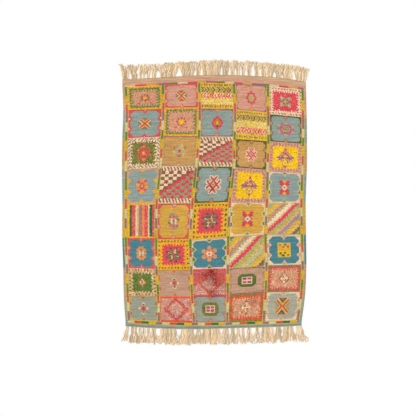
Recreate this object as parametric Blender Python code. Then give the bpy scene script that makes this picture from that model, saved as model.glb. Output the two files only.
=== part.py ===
"""A moroccan rug of mixed flat weave and knotted pile, fringed at both ends.

The rug lies face up. Its tiles stand in five columns and eight rows, and every other tile is
knotted pile that rises above the flat-woven ones. A plain heading closes the far end, a narrow
edge cord closes the near end, and warp cords come out of both as fringe.
+X is the rug's right side, +Y its far end and +Z up. The floor is at z = 0.
"""

import math
import random
from collections import namedtuple

import bmesh
import bpy
import numpy as np
from mathutils import Matrix, Vector, noise

MM = 0.001

# Cloth, in mm
WEAVE = 5.0  # thickness of the flat weave
PILE = 10.0  # height of the knotted tiles over the floor
STRIP_RISE = 1.2  # how far the narrow patterned strips stand over the flat weave
STRIP = 16.0  # width of an upright strip
DASHES = 15.0  # width of the dash stripe across each end
SHOULDER = 7.0  # slope at the edge of a tile
ROUND = 4.0  # rounding at the rug's own edge
EDGE = 3.2  # height at which that rounding starts
UNEVEN = 0.5  # how far the surface wanders up and down
WANDER = 90.0  # distance over which it does so
GAP = 0.3  # between the cloth and the backing of a fringe

# Fringe, in mm
CORD_PITCH = 11.4  # between roots in one lock
CORD = 8.6  # width of a cord at its root
TIP = 7.4  # width at its tip
CORD_HEIGHT = 6.0
TIP_HEIGHT = 4.6
HEADING = 4.0  # thickness of the far heading and of the near edge cord
NEAR_EDGE = 8.0  # depth of the near edge cord
CORD_STEPS = 4
FAR_LENGTH = 112.0
NEAR_LENGTH = 134.0
LENGTH_VARIES = 0.08
FILLED = 0.45  # how much of the parting beside it a lock's tips spread into
FLARE = 1.4  # how much later than evenly a cord leans over
SWAY = 3.0  # sideways wave that the cords of a lock share
STRAY = 2.2  # how far a tip strays from its even place
CORD_CROWN = 0.8  # width of a cord's top as a share of its foot
SPLAY_REACH = 42.0  # how far in from a corner the cords still fan out
SEED = 7

UPRIGHT = 0.7  # a face whose normal leans this far outwards is the backing's front
COLUMNS = 5
ROWS = 8
TILE_STEPS = (1 / 3, 2 / 3)  # grid lines inside a tile

# Places across the rug at nine heights, in mm: the two edges, and the middle of each strip.
Section = namedtuple("Section", "y left strips right")
SECTIONS = (
    Section(-946, -708, (-680, -440, -159, 105, 397, 666), 699),
    Section(-734, -722, (-690, -447, -177, 109, 410, 696), 726),
    Section(-518, -726, (-696, -461, -183, 110, 419, 708), 736),
    Section(-270, -734, (-706, -462, -190, 114, 411, 703), 734),
    Section(0, -733, (-705, -459, -173, 126, 422, 698), 731),
    Section(282, -736, (-705, -430, -145, 158, 428, 706), 740),
    Section(522, -733, (-702, -415, -122, 164, 435, 712), 741),
    Section(746, -726, (-697, -405, -114, 168, 432, 710), 738),
    Section(938, -733, (-706, -408, -119, 159, 430, 706), 733),
)

# The two ends of the rug, in mm: where the near end, the cloth's far end and the far heading lie.
End = namedtuple("End", "x near far heading")
ENDS = (
    End(-733, -975, 956, 991),
    End(-549, -988, 969, 998),
    End(-365, -997, 978, 1009),
    End(-181, -1000, 993, 1019),
    End(3, -997, 999, 1026),
    End(187, -990, 992, 1024),
    End(371, -986, 978, 1014),
    End(555, -979, 964, 1000),
    End(731, -970, 937, 969),
)

# The lines between rows of tiles, near end first, in mm: each column's left and right height.
ROW_LINES = (
    ((-933, -946), (-947, -954), (-952, -951), (-950, -942), (-944, -933)),
    ((-743, -746), (-747, -746), (-745, -740), (-730, -711), (-710, -708)),
    ((-518, -526), (-536, -534), (-529, -522), (-524, -506), (-499, -491)),
    ((-280, -281), (-290, -286), (-297, -273), (-266, -249), (-254, -254)),
    ((-4, 0), (-5, -2), (0, 7), (6, 3), (0, 3)),
    ((267, 284), (297, 300), (293, 291), (286, 265), (254, 238)),
    ((518, 530), (535, 535), (531, 530), (512, 494), (494, 473)),
    ((743, 752), (761, 766), (753, 751), (748, 726), (710, 686)),
    ((928, 942), (946, 958), (962, 956), (952, 937), (934, 908)),
)

# Where the fringe is parted, in mm: the same places at both ends, and how wide.
Parting = namedtuple("Parting", "x width")
PARTINGS = (
    Parting(-671, 20), Parting(-609, 16), Parting(-576, 12), Parting(-544, 14),
    Parting(-508, 14), Parting(-449, 34), Parting(-285, 40), Parting(-154, 20),
    Parting(-104, 16), Parting(56, 20), Parting(122, 18), Parting(170, 14),
    Parting(212, 16), Parting(252, 22), Parting(310, 32), Parting(369, 18),
    Parting(481, 20), Parting(542, 18), Parting(638, 22),
)

# How far the outermost cords fan out over the corners, in mm.
Splay = namedtuple("Splay", "left right")
FAR_SPLAY = Splay(-42, 30)
NEAR_SPLAY = Splay(-48, 80)


def smooth(places, values, at):
    """A smooth curve through values, read at one place and held level past its ends."""
    at = min(max(at, places[0]), places[-1])
    slopes = np.gradient(np.array(values, float), np.array(places, float))
    k = min(int(np.searchsorted(places, at, side="right")) - 1, len(places) - 2)
    span = places[k + 1] - places[k]
    t = (at - places[k]) / span
    return (
        (1 + 2 * t) * (1 - t) ** 2 * values[k]
        + t * (1 - t) ** 2 * span * slopes[k]
        + t * t * (3 - 2 * t) * values[k + 1]
        - t * t * (1 - t) * span * slopes[k + 1]
    )


def side_lines(y):
    """The left edge, the six strips' middles and the right edge at height y."""
    heights = [s.y for s in SECTIONS]
    rows = [(s.left, *s.strips, s.right) for s in SECTIONS]
    return [smooth(heights, column, y) for column in zip(*rows)]


def end_line(which, x):
    """The height of one of the end lines at x."""
    return smooth([e.x for e in ENDS], [getattr(e, which) for e in ENDS], x)


def row_line(k, x):
    """The height at x of the line under row k, counted from the near end."""
    strips = side_lines(sum(sum(pair) for pair in ROW_LINES[k]) / (2 * COLUMNS))[1:-1]
    places = []
    for c in range(COLUMNS):
        places += [strips[c] + STRIP / 2, strips[c + 1] - STRIP / 2]
    return float(np.interp(x, places, [y for pair in ROW_LINES[k] for y in pair]))


def lines_across(y):
    """Each grid line's x at height y, with what lies there: an edge, strip or tile column."""
    left, *strips, right = side_lines(y)
    lines = [(left, "edge"), (left + ROUND, "ground")]
    for k, strip in enumerate(strips):
        lines += [(strip - STRIP / 2, "strip"), (strip + STRIP / 2, "strip")]
        if k < COLUMNS:
            start, stop = strip + STRIP / 2, strips[k + 1] - STRIP / 2
            inside = [start + (stop - start) * f for f in TILE_STEPS]
            lines += [(x, k) for x in (start + SHOULDER, *inside, stop - SHOULDER)]
    return lines + [(right - ROUND, "ground"), (right, "edge")]


def lines_along(x):
    """Each grid line's y at x, with what lies there: an edge, dash stripe or tile row."""
    near, far = end_line("near", x), end_line("far", x)
    rows = [row_line(k, x) for k in range(ROWS + 1)]
    lines = [(near, "edge"), (near + ROUND, "ground"), (rows[0] - DASHES, "strip")]
    for k in range(ROWS):
        start, stop = rows[k], rows[k + 1]
        inside = [start + (stop - start) * f for f in TILE_STEPS]
        lines += [(start, "strip" if k == 0 else "ground")]
        lines += [(y, k) for y in (start + SHOULDER, *inside, stop - SHOULDER)]
    lines += [(rows[-1], "strip"), (rows[-1] + DASHES, "strip")]
    return lines + [(far - ROUND, "ground"), (far, "edge")]


def is_pile(column, row):
    """Knotted tiles alternate, starting with pile at the far left corner."""
    return (column + ROWS - 1 - row) % 2 == 0


def surface(x, y, across, along):
    """Height of the rug's face where two grid lines cross."""
    if "edge" in (across, along):
        return EDGE
    rough = UNEVEN * noise.noise(Vector((x, y, 0)) / WANDER)
    if "strip" in (across, along) and "ground" not in (across, along):
        return WEAVE + STRIP_RISE + rough / 2
    if "ground" in (across, along) or "strip" in (across, along):
        return WEAVE + rough / 2
    return (PILE + rough) if is_pile(across, along) else (WEAVE + rough / 2)


def new_object(name, mesh, collection, colour, roughness):
    """An object of one sub-part with its own finish."""
    material = bpy.data.materials.new(name)
    material.use_nodes = True
    shader = material.node_tree.nodes["Principled BSDF"]
    shader.inputs["Base Color"].default_value = (*colour, 1)
    shader.inputs["Roughness"].default_value = roughness
    shader.inputs["Metallic"].default_value = 0
    made = bpy.data.objects.new(name, mesh)
    made.data.materials.append(material)
    collection.objects.link(made)
    return made


def close_under(mesh):
    """Drops walls from the open sheet's rim to the floor and closes them with one flat face."""
    rim = [edge for edge in mesh.edges if edge.is_boundary]
    walls = bmesh.ops.extrude_edge_only(mesh, edges=rim)["geom"]
    for part in walls:
        if isinstance(part, bmesh.types.BMVert):
            part.co.z = 0
    foot = [e for e in walls if isinstance(e, bmesh.types.BMEdge) and e.is_boundary]
    bmesh.ops.contextual_create(mesh, geom=foot)


def sheet(columns, rows):
    """A flat grid of so many points each way, with its points in rows of columns."""
    mesh = bmesh.new()
    bmesh.ops.create_grid(mesh, x_segments=columns - 1, y_segments=rows - 1, size=1)
    points = sorted(mesh.verts, key=lambda v: (round(v.co.y, 5), round(v.co.x, 5)))
    return mesh, [points[r * columns:(r + 1) * columns] for r in range(rows)]


def finished(mesh, name):
    """The mesh as data in metres, with its faces pointing out."""
    bmesh.ops.recalc_face_normals(mesh, faces=mesh.faces)
    bmesh.ops.scale(mesh, vec=(MM, MM, MM), verts=mesh.verts)
    data = bpy.data.meshes.new(name)
    mesh.to_mesh(data)
    mesh.free()
    return data


def cloth_points():
    """Rows of points of the cloth's face, from the near end to the far one."""
    rows = []
    for j, (height, along) in enumerate(lines_along(0)):
        row = []
        for i, (x, across) in enumerate(lines_across(height)):
            y = lines_along(x)[j][0]
            x = lines_across(y)[i][0]
            row.append(Vector((x, y, surface(x, y, across, along))))
        rows.append(row)
    return rows


def rug_body(cloth):
    """The cloth: one sheet whose face rises over the knotted tiles."""
    mesh, grid = sheet(len(cloth[0]), len(cloth))
    for row, places in zip(grid, cloth):
        for point, place in zip(row, places):
            point.co = place
    close_under(mesh)
    return finished(mesh, "rug_body")


def cord_places(left, right, chance):
    """Middle of each cord's root, how far its tip lies to the side, and its lock's sway.

    The roots of a lock are gathered between two partings, and its tips spread into them.
    """
    starts = [left] + [p.x + p.width / 2 for p in PARTINGS]
    stops = [p.x - p.width / 2 for p in PARTINGS] + [right]
    rooms = [0] + [FILLED * p.width for p in PARTINGS] + [0]
    cords = []
    for start, stop, before, after in zip(starts, stops, rooms, rooms[1:]):
        count = max(1, round((stop - start) / CORD_PITCH))
        sway = chance.uniform(-SWAY, SWAY)
        for k in range(count):
            part = (k + 0.5) / count
            lean = part * after - (1 - part) * before + chance.uniform(-STRAY, STRAY)
            cords.append((start + part * (stop - start), lean, sway))
    return cords


def cord_route(x, y, way, length, lean, sway):
    """Points along a cord from its root, lying on the floor, way being +1 for the far end."""
    points = []
    for k in range(CORD_STEPS + 1):
        t = k / CORD_STEPS
        aside = lean * t ** FLARE + sway * math.sin(2 * math.pi * t)
        points.append(Vector((x + aside, y + way * length * t, 0)))
    return points


def draw_cord(mesh, face, route):
    """Draws a cord out of a face of its backing, one extrusion for each step of its route."""
    for k in range(1, len(route)):
        t = k / CORD_STEPS
        before, here, after = route[k - 1], route[k], route[min(k + 1, len(route) - 1)]
        side = (after - before).normalized().cross(Vector((0, 0, 1)))
        old_middle = face.calc_center_median()
        face = bmesh.ops.extrude_discrete_faces(mesh, faces=[face])["faces"][0]
        for point in face.verts:
            hand = math.copysign(1, (point.co - old_middle).dot(side))
            top = point.co.z > old_middle.z
            half = (CORD + (TIP - CORD) * t) / 2
            tall = CORD_HEIGHT + (TIP_HEIGHT - CORD_HEIGHT) * t
            point.co = here + side * hand * half * (CORD_CROWN if top else 1)
            point.co.z = tall if top else 0


def fringe(name, way, rim, outer, length, splay):
    """A backing strip from the cloth's rim to an outer line, with its row of cords."""

    def inner(x):
        return float(np.interp(x, [p.x for p in rim], [p.y for p in rim])) + way * GAP

    chance = random.Random(SEED + way)
    left, right = rim[0].x, rim[-1].x
    cords = cord_places(left, right, chance)
    sides = [x + hand * CORD / 2 for x, _, _ in cords for hand in (-1, 1)]
    stations = [left, *sides, right]
    mesh, grid = sheet(len(stations), 2)
    for row, line in zip(grid, (inner, outer)):
        for x, point in zip(stations, row):
            point.co = (x, line(x), HEADING)
    close_under(mesh)
    bmesh.ops.recalc_face_normals(mesh, faces=mesh.faces)
    walls = [face for face in mesh.faces if face.normal.y * way > UPRIGHT]
    fronts = {face.calc_center_median().x: face for face in walls}
    for x, lean, sway in cords:
        face = fronts[min(fronts, key=lambda place: abs(place - x))]
        long = length * (1 + chance.uniform(-LENGTH_VARIES, LENGTH_VARIES))
        fan = splay.left * math.exp((left - x) / SPLAY_REACH)
        fan += splay.right * math.exp((x - right) / SPLAY_REACH)
        draw_cord(mesh, face, cord_route(x, outer(x), way, long, lean + fan, sway))
    return finished(mesh, name)


def main():
    """Builds the three pieces and stands them over the origin."""
    for old in list(bpy.data.objects):
        bpy.data.objects.remove(old, do_unlink=True)
    rug = bpy.data.collections.new("moroccan_rug")
    bpy.context.scene.collection.children.link(rug)
    cloth = cloth_points()
    far = fringe("fringe_far", 1, cloth[-1], lambda x: end_line("heading", x),
                 FAR_LENGTH, FAR_SPLAY)
    near = fringe("fringe_near", -1, cloth[0], lambda x: end_line("near", x) - NEAR_EDGE,
                  NEAR_LENGTH, NEAR_SPLAY)
    made = [
        new_object("rug_body", rug_body(cloth), rug, (0.48, 0.27, 0.16), 0.95),
        new_object("fringe_far", far, rug, (0.72, 0.58, 0.38), 0.9),
        new_object("fringe_near", near, rug, (0.72, 0.58, 0.38), 0.9),
    ]
    corners = [v.co for piece in made for v in piece.data.vertices]
    low = [min(c[axis] for c in corners) for axis in (0, 1)]
    high = [max(c[axis] for c in corners) for axis in (0, 1)]
    centre = Vector(((low[0] + high[0]) / 2, (low[1] + high[1]) / 2, 0))
    for piece in made:
        piece.data.transform(Matrix.Translation(-centre))


main()
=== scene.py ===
"""The looks of a moroccan rug: woven tiles, knotted pile, heading and twisted fringe.

The rug is drawn as a weaver charts it. Each tile is a sheet of squared paper, and one square is a
step of the flat weave or a knot of the pile. +X is the rug's right side and +Y its far end.
Sizes are in mm until a mesh is made.
"""

import math
import random
from collections import namedtuple
from functools import partial

import bmesh
import bpy
import numpy as np
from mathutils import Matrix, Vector, noise


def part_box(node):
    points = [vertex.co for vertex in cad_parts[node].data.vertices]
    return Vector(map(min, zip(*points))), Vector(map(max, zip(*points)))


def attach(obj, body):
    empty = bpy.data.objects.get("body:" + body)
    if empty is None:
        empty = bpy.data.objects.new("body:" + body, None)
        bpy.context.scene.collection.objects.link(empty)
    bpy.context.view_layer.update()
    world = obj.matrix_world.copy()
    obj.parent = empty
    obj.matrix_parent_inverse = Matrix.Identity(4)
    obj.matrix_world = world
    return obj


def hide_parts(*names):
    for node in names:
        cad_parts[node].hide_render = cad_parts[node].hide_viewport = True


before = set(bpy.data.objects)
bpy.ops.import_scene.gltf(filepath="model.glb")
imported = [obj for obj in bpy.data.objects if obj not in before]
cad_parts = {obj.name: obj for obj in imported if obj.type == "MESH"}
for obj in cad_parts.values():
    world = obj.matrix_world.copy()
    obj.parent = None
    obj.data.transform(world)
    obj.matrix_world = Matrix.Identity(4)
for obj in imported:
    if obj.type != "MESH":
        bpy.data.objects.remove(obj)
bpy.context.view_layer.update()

MM = 0.001

# The cloth, in mm, as the solids have it
WEAVE = 5.0
PILE = 10.0
STRIP_RISE = 1.2
STRIP = 16.0
DASHES = 15.0
EDGE = 3.2
UNEVEN = 0.5
WANDER = 90.0
HEADING = 4.0
NEAR_EDGE = 8.0
COLUMNS = 5
ROWS = 8

# Knots, in mm
UNDER_PILE = 3.2  # how far the cloth stands up under its knots
KNOT_BASE = 3.0  # half the width of a knot where it leaves the cloth
KNOT_WIDE = 4.3  # half its width where it opens
KNOT_OPENS = 0.8  # the share of its height where it is widest
KNOT_LEAN = 0.2
KNOT_STRAY = 0.6  # how far a knot strays from its square
KNOT_SMALLEST = 0.84  # as a share of its full size
KNOT_LARGEST = 1.14

# Fringe, in mm
CORD_PITCH = 11.4
FAR_LENGTH = 112.0
NEAR_LENGTH = 134.0
LENGTH_VARIES = 0.08
CURLED_UP = 0.91  # the share of its full length that the near fringe reaches
FILLED = 0.45
FLARE = 1.4
SWAY = 3.0
STRAY = 2.2
SPLAY_REACH = 42.0
TUCKED = 2.0  # how far inside its band a cord starts
REACHES = (0.93, 1.04)  # least and most of its length that a cord reaches
CORD_ROOT = 4.9  # half the width of a cord at its root
CORD_TIP = 4.0
CORD_POINTS = 20
CORD_RINGS = 30
CORD_LAY = 20.0  # length of one turn of a cord's twist
CURL = 12.0  # how far a cord waves from side to side near its tip
CURL_VARIES = (0.3, 1.2)
CURL_GROWS = 0.8  # the power of the way along it with which it waves further
WAVES = (1.0, 2.2)  # fewest and most waves along a cord
HOOK = 19.0  # how far its last stretch turns aside
HOOK_GROWS = 4
LIFT = 3.4  # how far a cord rises over its neighbours
THIN_LIFT = 7.0  # how much further it would rise if it had no width at all
LANDING = 1.25  # its length as a multiple of where it lies down again
THIN = 0.6  # the width of a thin cord as a share of a thick one's
THIN_WANDER = 15.0
THICK_WANDER = 8.0  # how far a cord strays over its neighbours
YARN = 1.3  # half the width of a loose yarn
YARN_POINTS = 8
YARNS = 5  # loose yarns at each cord
YARN_LENGTH = 44.0
YARN_SHORTEST = 0.7  # as a share of the length that it has room for
YARN_PAST = 7.0  # how far a loose yarn may run past its cord's tip
YARN_ASIDE = 15.0
YARN_BEND = 7.0
YARN_TAPER = 0.4  # how much thinner it is at its tip, as a share
SEED = 7

# Strands of the fringe: plies, the radius at their grooves as a share of the whole radius, rings
# along a strand, and the length of one turn in mm.
Strand = namedtuple("Strand", "name plies groove rings lay")
STRANDS = (
    Strand("cords", 3, 0.74, CORD_RINGS, CORD_LAY),
    Strand("thin_cords", 2, 0.72, CORD_RINGS, CORD_LAY * THIN),
    Strand("loose_yarns", 2, 0.8, YARN_POINTS, CORD_LAY),
)

# A band's section from its inner edge: how far across it, and how high, as shares.
BAND_SECTION = ((0.0, 0.0), (0.0, 0.6), (0.12, 0.94), (0.5, 1.0), (0.88, 0.94), (1.0, 0.6), (1.0, 0.0))
BAND_STEPS = 200

SOFT = 0.92  # roughness of wool

# Places across the rug at nine heights, in mm: the two edges, and the middle of each strip.
Section = namedtuple("Section", "y left strips right")
SECTIONS = (
    Section(-946, -708, (-680, -440, -159, 105, 397, 666), 699),
    Section(-734, -722, (-690, -447, -177, 109, 410, 696), 726),
    Section(-518, -726, (-696, -461, -183, 110, 419, 708), 736),
    Section(-270, -734, (-706, -462, -190, 114, 411, 703), 734),
    Section(0, -733, (-705, -459, -173, 126, 422, 698), 731),
    Section(282, -736, (-705, -430, -145, 158, 428, 706), 740),
    Section(522, -733, (-702, -415, -122, 164, 435, 712), 741),
    Section(746, -726, (-697, -405, -114, 168, 432, 710), 738),
    Section(938, -733, (-706, -408, -119, 159, 430, 706), 733),
)

# The two ends of the rug, in mm: where the near end, the cloth's far end and the far heading lie.
End = namedtuple("End", "x near far heading")
ENDS = (
    End(-733, -975, 956, 991),
    End(-549, -988, 969, 998),
    End(-365, -997, 978, 1009),
    End(-181, -1000, 993, 1019),
    End(3, -997, 999, 1026),
    End(187, -990, 992, 1024),
    End(371, -986, 978, 1014),
    End(555, -979, 964, 1000),
    End(731, -970, 937, 969),
)

# The lines between rows of tiles, near end first, in mm: each column's left and right height.
ROW_LINES = (
    ((-933, -946), (-947, -954), (-952, -951), (-950, -942), (-944, -933)),
    ((-743, -746), (-747, -746), (-745, -740), (-730, -711), (-710, -708)),
    ((-518, -526), (-536, -534), (-529, -522), (-524, -506), (-499, -491)),
    ((-280, -281), (-290, -286), (-297, -273), (-266, -249), (-254, -254)),
    ((-4, 0), (-5, -2), (0, 7), (6, 3), (0, 3)),
    ((267, 284), (297, 300), (293, 291), (286, 265), (254, 238)),
    ((518, 530), (535, 535), (531, 530), (512, 494), (494, 473)),
    ((743, 752), (761, 766), (753, 751), (748, 726), (710, 686)),
    ((928, 942), (946, 958), (962, 956), (952, 937), (934, 908)),
)

# Where the fringe is parted, in mm: the same places at both ends, and how wide.
Parting = namedtuple("Parting", "x width")
PARTINGS = (
    Parting(-671, 20), Parting(-609, 16), Parting(-576, 12), Parting(-544, 14),
    Parting(-508, 14), Parting(-449, 34), Parting(-285, 40), Parting(-154, 20),
    Parting(-104, 16), Parting(56, 20), Parting(122, 18), Parting(170, 14),
    Parting(212, 16), Parting(252, 22), Parting(310, 32), Parting(369, 18),
    Parting(481, 20), Parting(542, 18), Parting(638, 22),
)

# How far the outermost cords fan out over the corners, in mm.
Splay = namedtuple("Splay", "left right")
FAR_SPLAY = Splay(-42, 30)
NEAR_SPLAY = Splay(-48, 80)

# Squares of the chart in each span of the rug, from the left edge and from the near end.
TILE_ACROSS = (39, 45, 45, 45, 45)
TILE_ALONG = (33, 36, 42, 45, 45, 39, 39, 33)
STRIP_SQUARES = 4
DASH_SQUARES = 3
SELVEDGE = 3
NEAR_BAND = 4
FAR_BAND = 5
SPANS_ACROSS = [SELVEDGE, STRIP_SQUARES]
for tile in TILE_ACROSS:
    SPANS_ACROSS += [tile, STRIP_SQUARES]
SPANS_ACROSS += [SELVEDGE]
SPANS_ALONG = [NEAR_BAND, DASH_SQUARES, *TILE_ALONG, DASH_SQUARES, FAR_BAND]
BACKING = 3  # squares to one coarser square of the underside

# Frames of the flat tiles, in squares
BUMP_AT = 7.0  # how far from the middle of a side its two bumps lie
BUMP_REACH = 4.2  # half a bump's length
NOTCH_REACH = 3.8  # half the width of the notch in an end
FILLED_FROM = 0.3  # how far up a bump or a notch its filling starts

JOSTLED = 0.1  # the share of knots that stray into a neighbour's place
CHEVRON_LINES = 33  # lines of squares in which the bands of angles are placed
CHEVRON_PITCH = 7.6  # squares from one angle to the next of its wool

# The dyed wools.
DYES = {
    "pink": "#dc9f86", "blue": "#94a49b", "ochre": "#cf9e5e", "gold": "#dba94b",
    "teal": "#528790", "rose": "#c79c80", "grey": "#a1a390", "red": "#dc5a5c",
    "crimson": "#e34a5a", "yellow": "#e9b02e", "lemon": "#f5cc20", "straw": "#e0b63c",
    "green": "#6f8a45", "bottle": "#3f7048", "sage": "#8ea47a", "purple": "#a07080",
    "cream": "#ddcb9c", "peach": "#f0cfae", "brown": "#92694f", "olive": "#868443",
    "leaf": "#5c7836", "salmon": "#d7a27e", "scarlet": "#d9565c", "orange": "#ea923e",
    "moss": "#66683a", "plum": "#8d5f72", "rust": "#c8584a", "lime": "#c3b455",
    "mauve": "#bd8390", "clay": "#cc8c6a", "mint": "#a9b98f", "apricot": "#e6955e",
    "vermilion": "#e0563c", "khaki": "#c6b983", "ash": "#b1ad98",
}
WOOLS = list(DYES)
GROUNDS = ("pink", "blue", "ochre", "blue", "gold", "teal", "rose", "grey")  # far row first
STRIP_ORDER = (
    "green yellow red purple cream green yellow red cream purple green yellow red cream purple "
    "yellow green red cream purple yellow green red cream purple"
).split()
FAR_ORDER = "cream red gold purple green".split()
FAR_DASH = 13  # squares to one dash
NEAR_ORDER = "cream vermilion bottle yellow purple".split()
NEAR_DASH = 10
NEAR_DROP = 1  # squares by which the near dashes lie further out than the far ones

# Old stains on the pile, in mm: where, how far they spread, and how dark they are.
Stain = namedtuple("Stain", "x y reach dark")
STAINS = (
    Stain(-15, -550, 34, 0.55), Stain(-3, -620, 38, 0.6), Stain(-60, -590, 40, 0.35),
    Stain(-9, -725, 44, 0.45), Stain(60, -650, 30, 0.3), Stain(314, -791, 34, 0.4),
    Stain(-15, 120, 16, 0.4),
)

STAIN_COLOUR = np.array((0.8, 1.15, 1.15))  # how much of each light it takes away
BLOTCHED = (0.2, 1.7)  # how unevenly it soaks in
DARKEST = 0.78  # the most of the light that a stain takes away, before its colour

# How far dye lots make the wool lighter or darker, and the distance over which they do, in mm.
STREAKED = 0.09
STREAK_REACH = 16.0
STREAK_STRETCH = 22.0  # how much further they do so along the weft
CLOUDED = 0.06
CLOUD_REACH = 160.0
KNOTS_VARY = 0.42  # the whole range of light and dark from knot to knot, as a share
WEAVE_VARIES = 0.2

# Colours of the two bands, the fringe and the floor.
BANDS = {"far": ("heading", "#caa782"), "near": ("near_edge", "#94a196")}
FRINGE_COLOUR = "#edd1a6"
FLOOR_COLOUR = "#fbfbfb"

# The camera stands straight over the rug, in metres.
CAMERA_HEIGHT = 6.0
SEEN_WIDE = 3.328  # width of floor that the picture takes in
AIM = (-0.047, -0.037)
SENSOR = 36.0
FLOOR_HALF = 300.0
FLOOR_DROP = 0.0004
SKY = 0.66
SUN = 1.5
SUN_SPREAD = 24  # in degrees
SUN_LEAN = (-28, -26)  # in degrees, about X and Y

# The map that a piece is baked on: its margin, how far it leans to show the piece's sides, and
# where the underside of the cloth lies beside its face.
MAP_MARGIN = 0.005
MAP_LEAN = 0.35
MAP_FACE = 0.80
MAP_BACK_FROM = 0.83
MAP_BACK = 0.165


def linear(hexcode):
    """A colour's red, green and blue as light, from its written form."""
    parts = [int(hexcode[k:k + 2], 16) / 255 for k in (1, 3, 5)]
    return [p / 12.92 if p <= 0.04045 else ((p + 0.055) / 1.055) ** 2.4 for p in parts]


# Nodes

class Term:
    """A shader socket that takes part in sums like a number."""

    def __init__(self, wiring, socket):
        self.wiring = wiring
        self.socket = socket

    def worked(self, operation, first, second):
        """The result of one Math node."""
        node = self.wiring.node("ShaderNodeMath", {"operation": operation}, {0: first, 1: second})
        return Term(self.wiring, node.outputs[0])

    def __add__(self, other):
        return self.worked("ADD", self, other)

    def __sub__(self, other):
        return self.worked("SUBTRACT", self, other)

    def __mul__(self, other):
        return self.worked("MULTIPLY", self, other)

    def __rsub__(self, other):
        return self.worked("SUBTRACT", other, self)

    __radd__ = __add__
    __rmul__ = __mul__


class Wiring:
    """Adds nodes to a tree and joins them."""

    def __init__(self, tree):
        self.tree = tree

    def node(self, kind, settings=None, sockets=None):
        """A new node of one kind, with its settings made before its sockets are filled."""
        made = self.tree.nodes.new(kind)
        for name, value in (settings or {}).items():
            setattr(made, name, value)
        for key, value in (sockets or {}).items():
            self.join(value, made.inputs[key])
        return made

    def join(self, value, socket):
        """Links a value to a socket, or sets it there."""
        if isinstance(value, Term):
            value = value.socket
        if isinstance(value, bpy.types.NodeSocket):
            self.tree.links.new(value, socket)
        else:
            socket.default_value = value


class Finish(Wiring):
    """A material on Principled BSDF."""

    def __init__(self, name, roughness=SOFT):
        self.material = bpy.data.materials.new(name)
        self.material.use_nodes = True
        super().__init__(self.material.node_tree)
        self.shader = self.tree.nodes["Principled BSDF"]
        self.shader.inputs["Roughness"].default_value = roughness
        self.shader.inputs["Specular IOR Level"].default_value = 0.1

    def term(self, socket):
        """A socket to work with."""
        return Term(self, socket)

    def places(self, stretch=(1, 1, 1)):
        """Places on the piece, in metres, each axis multiplied."""
        spot = self.node("ShaderNodeTexCoord").outputs["Object"]
        return self.node("ShaderNodeVectorMath", {"operation": "MULTIPLY"}, {0: spot, 1: stretch}).outputs[0]

    def grain(self, stretch, detail=2.0):
        """Noise from -1 to 1, its scale set by the stretch of its places."""
        sockets = {"Vector": self.places(stretch), "Scale": 1.0, "Detail": detail}
        noisy = self.node("ShaderNodeTexNoise", None, sockets)
        return self.term(noisy.outputs[0]) * 2 - 1

    def ribs(self, stretch, warp):
        """Ripples from 0 to 1 along X."""
        settings = {"wave_type": "BANDS", "bands_direction": "Y", "wave_profile": "SIN"}
        sockets = {"Vector": self.places(stretch), "Scale": 1.0, "Distortion": warp, "Detail": 1.0}
        return self.term(self.node("ShaderNodeTexWave", settings, sockets).outputs["Fac"])

    def shaded(self, colour, factor):
        """A colour made lighter or darker."""
        sockets = {0: colour, "Scale": factor}
        return self.node("ShaderNodeVectorMath", {"operation": "SCALE"}, sockets).outputs[0]

    def dyed(self, name):
        """The colour kept on the piece under a name."""
        return self.node("ShaderNodeAttribute", {"attribute_name": name}).outputs["Color"]

    def kept(self, name):
        """A number kept on the piece under a name."""
        return self.term(self.node("ShaderNodeAttribute", {"attribute_name": name}).outputs["Fac"])

    def raised(self, height, depth):
        """Feeds a bump of so many metres to the shader."""
        sockets = {"Height": height, "Distance": depth, "Strength": 1.0}
        bump = self.node("ShaderNodeBump", None, sockets)
        self.join(bump.outputs[0], self.shader.inputs["Normal"])

    def coloured(self, colour):
        """Feeds the base colour and returns the finished material."""
        self.join(colour, self.shader.inputs["Base Color"])
        return self.material


class Recipe(Wiring):
    """A Geometry Nodes tree whose sizes are named inputs."""

    def __init__(self, name, sizes):
        super().__init__(bpy.data.node_groups.new(name, "GeometryNodeTree"))
        face = self.tree.interface
        face.new_socket("Geometry", in_out="INPUT", socket_type="NodeSocketGeometry")
        self.keys = {}
        for label, value in sizes.items():
            kind = "NodeSocketInt" if isinstance(value, int) else "NodeSocketFloat"
            socket = face.new_socket(label, in_out="INPUT", socket_type=kind)
            socket.default_value = value
            self.keys[label] = socket.identifier
        face.new_socket("Geometry", in_out="OUTPUT", socket_type="NodeSocketGeometry")
        self.given = self.node("NodeGroupInput").outputs
        self.sizes = sizes

    def finish(self, geometry, material):
        """Ends the tree with real mesh in one material."""
        real = self.node("GeometryNodeRealizeInstances", None, {0: geometry})
        smooth_faces = self.node("GeometryNodeSetShadeSmooth", None, {0: real.outputs[0]})
        sockets = {0: smooth_faces.outputs[0], "Material": material}
        dressed = self.node("GeometryNodeSetMaterial", None, sockets)
        self.node("NodeGroupOutput", None, {0: dressed.outputs[0]})

    def make(self, name, source):
        """Runs the recipe on a source object, and leaves one plain mesh in its place."""
        modifier = source.modifiers.new(name, "NODES")
        modifier.node_group = self.tree
        for label, value in self.sizes.items():
            modifier[self.keys[label]] = value
        graph = bpy.context.evaluated_depsgraph_get()
        mesh = bpy.data.meshes.new_from_object(source.evaluated_get(graph))
        mesh.name = name
        source.modifiers.remove(modifier)
        bpy.data.objects.remove(source, do_unlink=True)
        return shown(name, mesh)


def shown(name, data):
    """A new object in the scene."""
    made = bpy.data.objects.new(name, data)
    bpy.context.scene.collection.objects.link(made)
    return made


# Where things lie on the rug

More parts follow.
